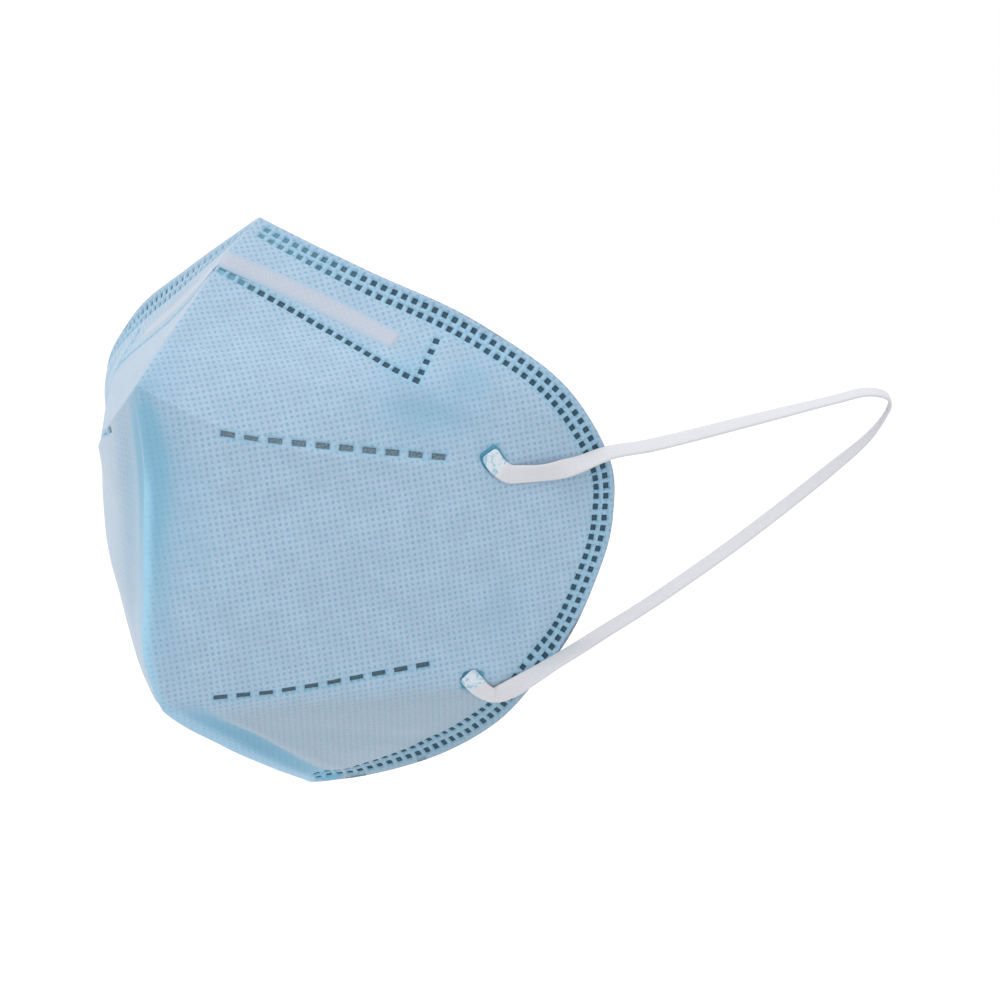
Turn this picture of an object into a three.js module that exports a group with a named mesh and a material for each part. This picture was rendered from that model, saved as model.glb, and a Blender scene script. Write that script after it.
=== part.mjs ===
// Reusable fold-flat face mask, shown open as it sits on a face, with both ear loops held out behind.
// Units are millimetres. Z is up, the mask faces -Y, and the plane x = 0 cuts it into two equal halves.
// The origin is the middle of the opening that the face goes into.
import * as THREE from "three";

// Driving sizes of the cloth cup.
const CUP_WALL = 1.5;
const RIM_WALL = 1.0;
const RIM_BAND = 6.0;
const FOLD_RADIUS = 1.0;
const TUCK_REACH = 6.0;
const COLUMNS = 22;
const COLUMN_CROWDING = 1.25;
const ROW_STEP = 4.4;

// Driving sizes of the nose strip and the ear loops.
const GAP = 0.3;
const STRIP_WIDTH = 4.2;
const STRIP_THICKNESS = 0.8;
const STRIP_STATIONS = 14;
const STRIP_CROWDING = 1.5;
const BAND_WIDTH = 4.0;
const BAND_THICKNESS = 0.8;
const BAND_GAP = 0.45;
const BAND_STEPS_PER_ROW = 4;

// Ribs of one half, from the nose down to the chin. Each rib runs from the front fold, given as [y, z]
// at x = 0, to the rim, given as [x, y, z]. "bow" swells the middle of a rib forward, "sag" lifts it,
// "tuck" lifts it just inside the rim, and the cloth turns a corner along a crease rib.
const RIBS = [
  { name: "nose", fold: [-20.0, 61.0], rim: [0.0, -20.0, 61.0], bow: 0.0, sag: 0.0, tuck: 0.0 },
  { name: "bend", fold: [-31.0, 54.0], rim: [23.2, -13.7, 50.4], bow: -1.2, sag: -1.0, tuck: 0.0 },
  { name: "seam", fold: [-45.0, 41.7], rim: [47.2, -4.2, 38.7], bow: -2.2, sag: -2.0, tuck: 0.0 },
  { name: "brow", fold: [-53.8, 33.9], rim: [62.2, 5.2, 25.8], bow: 6.0, sag: -4.5, tuck: 0.0 },
  { name: "front", fold: [-61.5, 27.0], rim: [66.0, 15.6, 11.2], bow: 10.3, sag: -7.5, tuck: 0.0, crease: true },
  { name: "cheek", fold: [-58.8, 8.0], rim: [65.7, 17.9, -2.3], bow: 11.2, sag: -2.0, tuck: 0.0 },
  { name: "pad", fold: [-58.4, -14.0], rim: [62.1, 16.6, -16.0], bow: 9.7, sag: 0.0, tuck: 0.0 },
  { name: "lip", fold: [-58.2, -31.5], rim: [57.0, 13.2, -28.9], bow: 4.4, sag: 0.0, tuck: 0.0 },
  { name: "jaw", fold: [-53.0, -41.6], rim: [53.3, 7.9, -36.5], bow: 2.6, sag: 1.5, tuck: 0.5, crease: true },
  { name: "under", fold: [-33.4, -50.7], rim: [41.9, 6.8, -47.3], bow: 0.8, sag: 1.0, tuck: 1.4 },
  { name: "throat", fold: [-16.8, -56.8], rim: [23.0, 6.2, -56.3], bow: 0.3, sag: 0.0, tuck: 1.2 },
  { name: "chin", fold: [-2.3, -61.5], rim: [0.0, -2.3, -61.5], bow: 0.0, sag: 0.0, tuck: 0.0 },
];
// At the chin the rim sets off straighter back and flatter than the last two ribs alone would give.
const CHIN_RIM_SLOPE = { y: 2.0, z: 0.35 };

// Soft dents of one half, placed on the front view. A positive depth presses the cloth backward, and
// "tilt" turns the long way of the dent from sideways towards upright, in degrees.
const DENTS = [
  { name: "front trough", x: 6.5, z: 8.0, length: 17.0, width: 4.5, tilt: 95, depth: 1.6 },
  { name: "temple hollow", x: 43.0, z: 20.0, length: 9.0, width: 6.0, tilt: 75, depth: 1.2 },
  { name: "chin pinch", x: 4.5, z: -49.0, length: 7.0, width: 3.5, tilt: 110, depth: 1.2 },
];

// The nose strip lies along a straight line of the front view, across the fold and down both sides.
const STRIP_LINE = { foldZ: 52.7, endX: 34.0, endZ: 35.3 };

// Rows of one ear loop, from its upper weld to its lower weld. Laid rows lie on the cup at a front-view
// point and "roll" lifts one edge off the cloth; free rows hang in air in the plane of the loop, and
// "roll" turns the flat of the band out of that plane. Rolls are in degrees.
const UPPER_LAID = [
  { x: 51.7, z: 12.2, roll: 0 },
  { x: 52.7, z: 9.6, roll: 0 },
  { x: 53.9, z: 7.8, roll: 0 },
  { x: 55.7, z: 7.7, roll: 10 },
  { x: 58.5, z: 8.1, roll: 36 },
  { x: 61.7, z: 9.4, roll: 50 },
];
const LOOP_FREE = [
  { x: 71.9, y: 21.4, z: 12.9, roll: 24 },
  { x: 83.6, y: 42.5, z: 17.6, roll: 17 },
  { x: 93.3, y: 59.8, z: 21.5, roll: 5 },
  { x: 97.7, y: 67.9, z: 23.1, roll: 8 },
  { x: 99.8, y: 72.4, z: 22.1, roll: 40 },
  { x: 100.0, y: 73.4, z: 20.6, roll: 50 },
  { x: 99.4, y: 73.1, z: 18.6, roll: 38 },
  { x: 96.8, y: 70.0, z: 13.5, roll: 6 },
  { x: 91.7, y: 62.7, z: 6.6, roll: -9 },
  { x: 79.6, y: 45.0, z: -8.3, roll: -13 },
  { x: 68.0, y: 27.5, z: -21.2, roll: -14 },
];
const LOWER_LAID = [
  { x: 55.2, z: -33.4, roll: 60 },
  { x: 52.0, z: -35.6, roll: 52 },
  { x: 48.6, z: -37.8, roll: 34 },
  { x: 45.9, z: -39.3, roll: 10 },
  { x: 44.8, z: -38.4, roll: 0 },
  { x: 44.5, z: -36.9, roll: 0 },
  { x: 43.9, z: -35.0, roll: 0 },
];

// The left band stands on its edge where it crosses the rim; the right band lies flat up to the rim.
const LOOPS = [
  {
    name: "ear_loop_left",
    half: 1,
    rollShare: 1,
    upperCrossing: [{ x: 67.7, y: 12.4, z: 11.7, roll: 26 }],
    lowerCrossing: [{ x: 62.3, y: 18.7, z: -26.9, roll: -15 }, { x: 59.3, y: 12.4, z: -30.4, roll: -20 }],
  },
  {
    name: "ear_loop_right",
    half: -1,
    rollShare: 0,
    upperCrossing: [{ x: 64.8, z: 10.6, roll: 0 }, { x: 67.6, y: 14.6, z: 11.6, roll: 72 }],
    lowerCrossing: [{ x: 59.7, y: 13.9, z: -29.8, roll: -60 }],
  },
];
const LOOP_PLANE_NORMAL = new THREE.Vector3(0.876, -0.447, -0.18).normalize();

// Numerical steps and limits.
const SLOPE_STEP = 0.004;
const BISECTIONS = 32;
const PANEL_Q = 0.09;
const POLE_T = 0.012;
const UNIT_X = new THREE.Vector3(1, 0, 0);

// ---------------------------------------------------------------- rib table as smooth functions

function ribValues(rib) {
  return [...rib.fold, ...rib.rim, rib.bow, rib.sag, rib.tuck];
}

function ribSpacing(a, b) {
  const fold = Math.hypot(b.fold[0] - a.fold[0], b.fold[1] - a.fold[1]);
  const rim = Math.hypot(b.rim[0] - a.rim[0], b.rim[1] - a.rim[1], b.rim[2] - a.rim[2]);
  return (fold + rim) / 2;
}

function ribKeys() {
  const keys = [0];
  for (let i = 1; i < RIBS.length; i += 1) {
    keys.push(keys[i - 1] + ribSpacing(RIBS[i - 1], RIBS[i]));
  }
  return keys;
}

const KEY_LENGTHS = ribKeys();
const CUP_LENGTH = KEY_LENGTHS[KEY_LENGTHS.length - 1];
const KEYS = KEY_LENGTHS.map((length) => length / CUP_LENGTH);
const VALUES = RIBS.map(ribValues);
const CREASED = [true, true, false, false, false, true, true, false];

function steepness(i, column) {
  return (VALUES[i + 1][column] - VALUES[i][column]) / (KEYS[i + 1] - KEYS[i]);
}

function chinFactor(column) {
  if (column === 3) return CHIN_RIM_SLOPE.y;
  if (column === 4) return CHIN_RIM_SLOPE.z;
  return 1;
}

// Slope of one column as a rib is reached (side -1) or left (side +1).
function ribSlope(i, column, side) {
  const last = RIBS.length - 1;
  if (i === 0) return steepness(0, column);
  if (i === last) return steepness(last - 1, column) * chinFactor(column);
  const before = steepness(i - 1, column);
  const after = steepness(i, column);
  if (RIBS[i].crease && CREASED[column]) return side < 0 ? before : after;
  const h0 = KEYS[i] - KEYS[i - 1];
  const h1 = KEYS[i + 1] - KEYS[i];
  return (before * h1 + after * h0) / (h0 + h1);
}

function ribAt(t) {
  let i = 0;
  while (i < KEYS.length - 2 && t > KEYS[i + 1]) i += 1;
  const h = KEYS[i + 1] - KEYS[i];
  const u = (t - KEYS[i]) / h;
  const uu = u * u;
  const uuu = uu * u;
  const [foldY, foldZ, rimX, rimY, rimZ, bow, sag, tuck] = VALUES[i].map((value, column) => (
    (2 * uuu - 3 * uu + 1) * value
    + (uuu - 2 * uu + u) * h * ribSlope(i, column, 1)
    + (3 * uu - 2 * uuu) * VALUES[i + 1][column]
    + (uuu - uu) * h * ribSlope(i + 1, column, -1)
  ));
  return { foldY, foldZ, rimX, rimY, rimZ, bow, sag, tuck };
}

// ---------------------------------------------------------------- outer face of the cup

function dentAt(x, z) {
  let depth = 0;
  for (const dent of DENTS) {
    const tilt = THREE.MathUtils.degToRad(dent.tilt);
    const along = (x - dent.x) * Math.cos(tilt) + (z - dent.z) * Math.sin(tilt);
    const across = (z - dent.z) * Math.cos(tilt) - (x - dent.x) * Math.sin(tilt);
    depth += dent.depth * Math.exp(-((along / dent.length) ** 2) - (across / dent.width) ** 2);
  }
  return depth;
}

function chordOf(rib) {
  return Math.hypot(rib.rimX, rib.rimY - rib.foldY, rib.rimZ - rib.foldZ);
}

function heightAt(rib, q) {
  const inward = (chordOf(rib) * (1 - q)) / TUCK_REACH;
  const tucked = rib.tuck * q * inward * Math.exp(1 - inward);
  return rib.foldZ + (rib.rimZ - rib.foldZ) * q + rib.sag * 4 * q * (1 - q) + tucked;
}

// Point of the half with x >= 0: q runs from the fold (0) to the rim (1), t from nose to chin.
function cupPoint(q, t) {
  const rib = ribAt(t);
  const swell = 4 * q * (1 - q);
  const x = q * rib.rimX;
  const rounded = Math.sqrt(x * x + FOLD_RADIUS ** 2) - FOLD_RADIUS;
  const reach = rib.rimX > 0 ? rounded / rib.rimX : q;
  const z = heightAt(rib, q);
  const y = rib.foldY + (rib.rimY - rib.foldY) * reach - rib.bow * swell + dentAt(x, z);
  return new THREE.Vector3(x, y, z);
}

// Outward normal; near the fold and the two tips it is taken a little way into the panel.
function cupNormal(q, t) {
  const safeT = THREE.MathUtils.clamp(t, POLE_T, 1 - POLE_T);
  const safeQ = THREE.MathUtils.clamp(q, 2 * SLOPE_STEP, 1 - SLOPE_STEP);
  const along = cupPoint(safeQ + SLOPE_STEP, safeT).sub(cupPoint(safeQ - SLOPE_STEP, safeT));
  const down = cupPoint(safeQ, safeT + SLOPE_STEP).sub(cupPoint(safeQ, safeT - SLOPE_STEP));
  return down.cross(along).normalize();
}

// Finds which rib and how far along it a front-view point lies, by halving the range of t.
function locate(x, z) {
  let low = 0;
  let high = 1;
  for (let i = 0; i < BISECTIONS; i += 1) {
    const t = (low + high) / 2;
    const rib = ribAt(t);
    const q = Math.min(x / Math.max(rib.rimX, SLOPE_STEP), 1);
    const above = x > rib.rimX ? t < 0.5 : heightAt(rib, q) > z;
    if (above) low = t;
    else high = t;
  }
  const t = (low + high) / 2;
  return { q: Math.min(x / ribAt(t).rimX, 1), t };
}

// Point on the cup under a front-view point, with its normal.
function faceAt(x, z) {
  const { q, t } = locate(x, z);
  return { point: cupPoint(q, t), normal: cupNormal(Math.max(q, 0), t) };
}

// ---------------------------------------------------------------- inner face of the cup

function wallAt(q, t) {
  const rib = ribAt(t);
  const inward = Math.min((chordOf(rib) * (1 - q)) / RIM_BAND, 1);
  return RIM_WALL + (CUP_WALL - RIM_WALL) * inward;
}

// Moves a point of the fold inward so that the walls of both halves keep their thickness there.
function mitred(point, normal, distance) {
  const inPlane = normal.clone();
  inPlane.x = 0;
  return point.clone().addScaledVector(inPlane, distance / inPlane.lengthSq());
}

function innerPoint(q, t) {
  const wall = wallAt(q, t);
  const panel = cupNormal(PANEL_Q, t);
  if (t <= 0 || t >= 1) return mitred(cupPoint(0, t), panel, -wall);
  const shift = (panel.x * wall) / ribAt(t).rimX;
  const moved = q + (1 - q) * shift;
  const point = cupPoint(moved, t).addScaledVector(cupNormal(moved, t), -wall);
  if (q === 0) point.x = 0;
  return point;
}

// ---------------------------------------------------------------- meshes

function geometryOf(points, triangles) {
  const geometry = new THREE.BufferGeometry();
  const coordinates = new Float32Array(points.flatMap((point) => [point.x, point.y, point.z]));
  geometry.setAttribute("position", new THREE.BufferAttribute(coordinates, 3));
  geometry.setIndex(triangles.flat());
  geometry.computeVertexNormals();
  return geometry;
}

function mirrored(point) {
  return new THREE.Vector3(-point.x, point.y, point.z);
}

// Row positions: every rib is a row, with even steps of about ROW_STEP between ribs.
function rowPositions() {
  const rows = [0];
  for (let i = 1; i < KEYS.length; i += 1) {
    const steps = Math.ceil((KEY_LENGTHS[i] - KEY_LENGTHS[i - 1]) / ROW_STEP);
    for (let k = 1; k <= steps; k += 1) {
      rows.push(KEYS[i - 1] + ((KEYS[i] - KEYS[i - 1]) * k) / steps);
    }
  }
  return rows;
}

function columnPositions() {
  return Array.from({ length: COLUMNS + 1 }, (_, j) => (j / COLUMNS) ** COLUMN_CROWDING);
}

// Hands out vertex numbers; both halves share the fold, and each tip is a single vertex.
class CupVertices {
  constructor(rows, columns) {
    this.rows = rows;
    this.columns = columns;
    this.points = [];
    this.numbers = new Map();
  }

  number(half, layer, i, j) {
    const tip = i === 0 || i === this.rows.length - 1;
    const column = tip ? 0 : j;
    const side = column === 0 ? 0 : half;
    const key = `${side}/${layer}/${i}/${column}`;
    if (!this.numbers.has(key)) {
      const place = layer === "outer" ? cupPoint : innerPoint;
      const point = place(this.columns[column], this.rows[i]);
      this.points.push(side < 0 ? mirrored(point) : point);
      this.numbers.set(key, this.points.length - 1);
    }
    return this.numbers.get(key);
  }
}

function addQuad(triangles, a, b, c, d) {
  for (const triangle of [[a, b, c], [a, c, d]]) {
    if (new Set(triangle).size === 3) triangles.push(triangle);
  }
}

function addHalf(vertices, triangles, half) {
  const lastRow = vertices.rows.length - 1;
  const lastColumn = vertices.columns.length - 1;
  const quad = (a, b, c, d) => {
    if (half > 0) addQuad(triangles, a, b, c, d);
    else addQuad(triangles, a, d, c, b);
  };
  for (let i = 0; i < lastRow; i += 1) {
    for (let j = 0; j < lastColumn; j += 1) {
      const outer = (di, dj) => vertices.number(half, "outer", i + di, j + dj);
      const inner = (di, dj) => vertices.number(half, "inner", i + di, j + dj);
      quad(outer(0, 0), outer(1, 0), outer(1, 1), outer(0, 1));
      quad(inner(0, 0), inner(0, 1), inner(1, 1), inner(1, 0));
    }
    const rim = (layer, di) => vertices.number(half, layer, i + di, lastColumn);
    quad(rim("outer", 0), rim("outer", 1), rim("inner", 1), rim("inner", 0));
  }
}

function cupGeometry() {
  const vertices = new CupVertices(rowPositions(), columnPositions());
  const triangles = [];
  addHalf(vertices, triangles, 1);
  addHalf(vertices, triangles, -1);
  return geometryOf(vertices.points, triangles);
}

// A bar swept through sections of four corners each, closed at both ends.
function barGeometry(sections) {
  const points = sections.flat();
  const triangles = [];
  for (let i = 0; i < sections.length - 1; i += 1) {
    for (let k = 0; k < 4; k += 1) {
      const next = (k + 1) % 4;
      addQuad(triangles, 4 * i + k, 4 * i + next, 4 * (i + 1) + next, 4 * (i + 1) + k);
    }
  }
  const end = 4 * (sections.length - 1);
  addQuad(triangles, 3, 2, 1, 0);
  addQuad(triangles, end, end + 1, end + 2, end + 3);
  return geometryOf(points, triangles);
}

// ---------------------------------------------------------------- nose strip

function stripCentre(x) {
  const z = STRIP_LINE.foldZ + ((STRIP_LINE.endZ - STRIP_LINE.foldZ) * x) / STRIP_LINE.endX;
  return faceAt(x, z);
}

// One corner of the strip: sideways from its centre line by `across`, and off the cloth by `height`.
function stripCorner(x, across, height) {
  const fold = x === 0;
  const near = fold ? STRIP_LINE.endX * PANEL_Q : x;
  const here = stripCentre(near);
  const ahead = stripCentre(near + 2 * SLOPE_STEP).point.sub(stripCentre(near - SLOPE_STEP).point);
  const sideways = here.normal.clone().cross(ahead.normalize());
  const start = fold ? stripCentre(0).point : here.point;
  const foot = start.addScaledVector(sideways, across);
  const face = faceAt(fold ? 0 : Math.max(foot.x, 0), foot.z);
  if (fold) return mitred(face.point, here.normal, height);
  return face.point.addScaledVector(face.normal, height);
}

function stripSection(x) {
  const half = STRIP_WIDTH / 2;
  const top = GAP + STRIP_THICKNESS;
  return [
    stripCorner(x, half, GAP),
    stripCorner(x, half, top),
    stripCorner(x, -half, top),
    stripCorner(x, -half, GAP),
  ];
}

function stripGeometry() {
  const sections = [];
  for (let k = 0; k <= STRIP_STATIONS; k += 1) {
    sections.push(stripSection(STRIP_LINE.endX * (k / STRIP_STATIONS) ** STRIP_CROWDING));
  }
  const other = sections.slice(1).reverse().map((section) => section.map(mirrored));
  return barGeometry([...other, ...sections]);
}

// ---------------------------------------------------------------- ear loops

function rolled(flat, tangent, degrees) {
  const level = flat.clone().projectOnPlane(tangent).normalize();
  return level.applyAxisAngle(tangent, THREE.MathUtils.degToRad(degrees));
}

function laidRow(row, rollShare) {
  const roll = THREE.MathUtils.degToRad(row.roll * rollShare);
  const lift = BAND_GAP + (BAND_WIDTH * Math.sin(roll) + BAND_THICKNESS * Math.cos(roll)) / 2;
  const face = faceAt(row.x, row.z);
  return { point: face.point.addScaledVector(face.normal, lift), normal: face.normal, roll };
}

function freeRow(row) {
  return { point: new THREE.Vector3(row.x, row.y, row.z), degrees: row.roll };
}

// The rows of one loop in order; a row with no y lies on the cup.
function loopRows(loop) {
  const rows = [
    ...UPPER_LAID, ...loop.upperCrossing, ...LOOP_FREE, ...loop.lowerCrossing, ...LOWER_LAID,
  ];
  return rows.map((row) => (row.y === undefined ? laidRow(row, loop.rollShare) : freeRow(row)));
}

// Direction of the band's width at a row, square to the way the band runs.
function widthDirection(row, tangent) {
  if (!row.normal) return rolled(LOOP_PLANE_NORMAL, tangent, row.degrees);
  const onCloth = tangent.clone().cross(row.normal).normalize();
  if (onCloth.dot(UNIT_X) < 0) onCloth.negate();
  const lifted = onCloth.multiplyScalar(Math.cos(row.roll));
  return lifted.addScaledVector(row.normal, Math.sin(row.roll)).normalize();
}

function bandSection(centre, tangent, width) {
  const across = width.clone().projectOnPlane(tangent).normalize();
  const thick = tangent.clone().cross(across);
  return [[-1, -1], [1, -1], [1, 1], [-1, 1]].map(([a, b]) => (
    centre.clone()
      .addScaledVector(across, (a * BAND_WIDTH) / 2)
      .addScaledVector(thick, (b * BAND_THICKNESS) / 2)
  ));
}

function bandGeometry(loop) {
  const rows = loopRows(loop);
  const curve = new THREE.CatmullRomCurve3(rows.map((row) => row.point), false, "centripetal");
  const gaps = rows.length - 1;
  const widths = [];
  rows.forEach((row, i) => {
    const width = widthDirection(row, curve.getTangent(i / gaps));
    if (i > 0 && width.dot(widths[i - 1]) < 0) width.negate();
    widths.push(width);
  });
  const sections = [];
  for (let k = 0; k <= gaps * BAND_STEPS_PER_ROW; k += 1) {
    const u = k / (gaps * BAND_STEPS_PER_ROW);
    const i = Math.min(Math.floor(k / BAND_STEPS_PER_ROW), gaps - 1);
    const width = widths[i].clone().lerp(widths[i + 1], k / BAND_STEPS_PER_ROW - i);
    sections.push(bandSection(curve.getPoint(u), curve.getTangent(u), width));
  }
  if (loop.half > 0) return barGeometry(sections);
  return barGeometry(sections.reverse().map((section) => section.map(mirrored)));
}

// ---------------------------------------------------------------- assembly

function piece(name, geometry, color) {
  const mesh = new THREE.Mesh(geometry, new THREE.MeshStandardMaterial({ color, roughness: 0.9 }));
  mesh.name = name;
  return mesh;
}

const mask = new THREE.Group();
mask.name = "face_mask";
mask.add(piece("mask_body", cupGeometry(), 0xa3c3dc));
mask.add(piece("nose_strip", stripGeometry(), 0xd8dee8));
for (const loop of LOOPS) mask.add(piece(loop.name, bandGeometry(loop), 0xe6e8ec));

export default mask;
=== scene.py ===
"""Reusable fold-flat face mask, shown open as worn: pale blue nonwoven cloth, pressed weld rows,
a pale nose strip and flat elastic ear loops. Geometry tables are in millimetres, objects in metres."""
import math
import bmesh
import bpy
import numpy as np
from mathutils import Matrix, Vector
from mathutils.geometry import delaunay_2d_cdt
from mathutils.kdtree import KDTree


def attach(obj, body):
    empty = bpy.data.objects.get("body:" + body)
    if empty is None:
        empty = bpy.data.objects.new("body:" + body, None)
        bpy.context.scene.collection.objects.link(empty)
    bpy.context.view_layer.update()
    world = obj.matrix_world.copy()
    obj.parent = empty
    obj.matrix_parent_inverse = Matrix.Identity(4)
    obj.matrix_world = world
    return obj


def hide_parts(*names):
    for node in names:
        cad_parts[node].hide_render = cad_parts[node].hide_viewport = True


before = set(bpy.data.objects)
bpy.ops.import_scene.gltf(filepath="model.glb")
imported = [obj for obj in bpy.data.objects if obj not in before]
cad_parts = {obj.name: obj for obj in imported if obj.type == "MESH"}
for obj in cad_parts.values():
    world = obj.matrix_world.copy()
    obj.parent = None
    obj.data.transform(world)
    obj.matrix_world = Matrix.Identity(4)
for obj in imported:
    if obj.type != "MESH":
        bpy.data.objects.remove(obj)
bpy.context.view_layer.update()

MM = 0.001
TINY = 1e-9
# Turns a point of the left half into one of the right, and takes a direction into the middle plane.
MIRROR = np.array([-1.0, 1.0, 1.0])
MIDDLE = np.array([0.0, 1.0, 1.0])

# ------------ camera
# The camera looks along a level bearing from the front left of the wearer, a little from above.
CAMERA_PLACE = (0.6516, -0.8617, 0.0752)
CAMERA_AZIMUTH = 35.0
CAMERA_ELEVATION = 4.0
CAMERA_LENS = 180.0


def make_camera():
    data = bpy.data.cameras.new("camera")
    data.lens = CAMERA_LENS
    data.sensor_width = 36.0
    data.clip_start = 0.05
    data.clip_end = 50.0
    camera = bpy.data.objects.new("camera", data)
    bpy.context.scene.collection.objects.link(camera)
    camera.location = CAMERA_PLACE
    camera.rotation_euler = (math.radians(90 - CAMERA_ELEVATION), 0.0, math.radians(CAMERA_AZIMUTH))
    bpy.context.scene.camera = camera


# ------------ cup surface
# One row per rib of a half, from the nose to the chin, each from the front fold to the rim. The bow swells
# a rib forward, the sag raises its middle, the tuck lifts it just inside the rim, and a crease is sharp.
FOLD_Y, FOLD_Z, RIM_X, RIM_Y, RIM_Z, BOW, SAG, TUCK, CREASE = range(9)
RIBS = (
    # fold y, z; rim x, y, z; bow; sag; tuck; crease
    (-20.0, 61.0, 0.0, -20.0, 61.0, 0.0, 0.0, 0.0, False),
    (-31.0, 54.0, 23.2, -13.7, 50.4, -1.2, -1.0, 0.0, False),
    (-45.0, 41.7, 47.2, -4.2, 38.7, -2.2, -2.0, 0.0, False),
    (-53.8, 33.9, 62.2, 5.2, 25.8, 6.0, -4.5, 0.0, False),
    (-61.5, 27.0, 66.0, 15.6, 11.2, 10.3, -7.5, 0.0, True),
    (-58.8, 8.0, 65.7, 17.9, -2.3, 11.2, -2.0, 0.0, False),
    (-58.4, -14.0, 62.1, 16.6, -16.0, 9.7, 0.0, 0.0, False),
    (-58.2, -31.5, 57.0, 13.2, -28.9, 4.4, 0.0, 0.0, False),
    (-53.0, -41.6, 53.3, 7.9, -36.5, 2.6, 1.5, 0.5, True),
    (-33.4, -50.7, 41.9, 6.8, -47.3, 0.8, 1.0, 1.4, False),
    (-16.8, -56.8, 23.0, 6.2, -56.3, 0.3, 0.0, 1.2, False),
    (-2.3, -61.5, 0.0, -2.3, -61.5, 0.0, 0.0, 0.0, False),
)
FRONT_RIB = 4
JAW_RIB = 8
CREASED_COLUMNS = (FOLD_Y, FOLD_Z, BOW, SAG)
# Share of a smooth bend that the fold keeps at the jaw, and slopes of the rim at the chin.
JAW_SOFTNESS = 0.5
CHIN_RIM_SLOPE = {RIM_Y: 2.0, RIM_Z: 0.35}
FOLD_RADIUS = 1.0
# The tuck's width, and how much more the welded edge turns outward than in the plain solid.
TUCK_REACH = 6.0
FLANGE_TURN = 1.8

# Soft dents of a half on the front view: x, z, length, width, tilt in degrees, depth pressed backward.
DENTS = (
    (6.5, 8.0, 17.0, 4.5, 95.0, 1.6),
    (43.0, 20.0, 9.0, 6.0, 75.0, 1.2),
    (4.5, -49.0, 7.0, 3.5, 110.0, 1.2),
)

# The cloth's wall, its wall at the rim, and the width over which it thins.
WALL = 1.3
RIM_WALL = 0.6
RIM_BAND = 6.0
# Share of a rib at which its panel's own normal is taken, clear of the fold.
PANEL_SHARE = 0.09
# Searches on the cup: the step in q and t, the margin at both tips, and the rounds.
STEP = 0.004
TIP_MARGIN = 0.012
HALVINGS = 36
NEAREST_ROUNDS = 5
MOST_Q_MOVE = 0.2
MOST_T_MOVE = 0.02

VALUES = np.array([row[:CREASE] for row in RIBS], dtype=float)


def rib_keys():
    """Place t of each rib, from 0 at the nose to 1 at the chin, and the length down the cup."""
    fold = np.diff(VALUES[:, 0:2], axis=0)
    rim = np.diff(VALUES[:, 2:5], axis=0)
    spacing = (np.linalg.norm(fold, axis=1) + np.linalg.norm(rim, axis=1)) / 2
    lengths = np.concatenate([[0.0], np.cumsum(spacing)])
    return lengths / lengths[-1], lengths[-1]


KEYS, CUP_LENGTH = rib_keys()


def rib_slopes():
    """Slope of every column just before and just after each rib."""
    steep = np.diff(VALUES, axis=0) / np.diff(KEYS)[:, None]
    before = np.zeros_like(VALUES)
    after = np.zeros_like(VALUES)
    after[0] = steep[0]
    before[-1] = steep[-1]
    for column, factor in CHIN_RIM_SLOPE.items():
        before[-1, column] *= factor
    for i in range(1, len(RIBS) - 1):
        h0 = KEYS[i] - KEYS[i - 1]
        h1 = KEYS[i + 1] - KEYS[i]
        smooth = (steep[i - 1] * h1 + steep[i] * h0) / (h0 + h1)
        before[i] = after[i] = smooth
        if RIBS[i][CREASE]:
            for column in CREASED_COLUMNS:
                soft = JAW_SOFTNESS if i == JAW_RIB and column in (FOLD_Y, FOLD_Z) else 0.0
                before[i, column] = soft * smooth[column] + (1 - soft) * steep[i - 1, column]
                after[i, column] = soft * smooth[column] + (1 - soft) * steep[i, column]
    return before, after


SLOPE_BEFORE, SLOPE_AFTER = rib_slopes()


def rib_at(t):
    """The eight rib values at each t, as columns."""
    t = np.asarray(t, dtype=float)
    i = np.clip(np.searchsorted(KEYS, t, side="left") - 1, 0, len(KEYS) - 2)
    h = (KEYS[i + 1] - KEYS[i])[:, None]
    u = (t - KEYS[i])[:, None] / h
    u2 = u * u
    u3 = u2 * u
    values = ((2 * u3 - 3 * u2 + 1) * VALUES[i] + (u3 - 2 * u2 + u) * h * SLOPE_AFTER[i]
              + (3 * u2 - 2 * u3) * VALUES[i + 1] + (u3 - u2) * h * SLOPE_BEFORE[i + 1])
    return values.T


def bump_sum(table, x, z):
    """Sum of soft oval bumps at front-view points."""
    total = np.zeros_like(x)
    for cx, cz, length, width, tilt, depth in table:
        c = math.cos(math.radians(tilt))
        s = math.sin(math.radians(tilt))
        along = (x - cx) * c + (z - cz) * s
        across = (z - cz) * c - (x - cx) * s
        total += depth * np.exp(-(along / length) ** 2 - (across / width) ** 2)
    return total


def rib_chord(rib):
    fold_y, fold_z, rim_x, rim_y, rim_z = rib[[FOLD_Y, FOLD_Z, RIM_X, RIM_Y, RIM_Z]]
    return np.sqrt(rim_x ** 2 + (rim_y - fold_y) ** 2 + (rim_z - fold_z) ** 2)


def rib_height(rib, q):
    fold_z, rim_z, sag, tuck = rib[[FOLD_Z, RIM_Z, SAG, TUCK]]
    inward = rib_chord(rib) * (1 - q) / TUCK_REACH
    tucked = FLANGE_TURN * tuck * q * inward * np.exp(1 - inward)
    return fold_z + (rim_z - fold_z) * q + sag * 4 * q * (1 - q) + tucked


def cup_point(q, t):
    """Points of the cup's outside at share q of the rib at t."""
    rib = rib_at(t)
    fold_y, rim_x, rim_y, bow = rib[[FOLD_Y, RIM_X, RIM_Y, BOW]]
    x = q * rim_x
    rounded = np.sqrt(x * x + FOLD_RADIUS ** 2) - FOLD_RADIUS
    reach = np.where(rim_x > TINY, rounded / np.maximum(rim_x, TINY), q)
    z = rib_height(rib, q)
    y = fold_y + (rim_y - fold_y) * reach - bow * 4 * q * (1 - q) + bump_sum(DENTS, x, z)
    return np.stack([x, y, z], axis=1)


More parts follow.
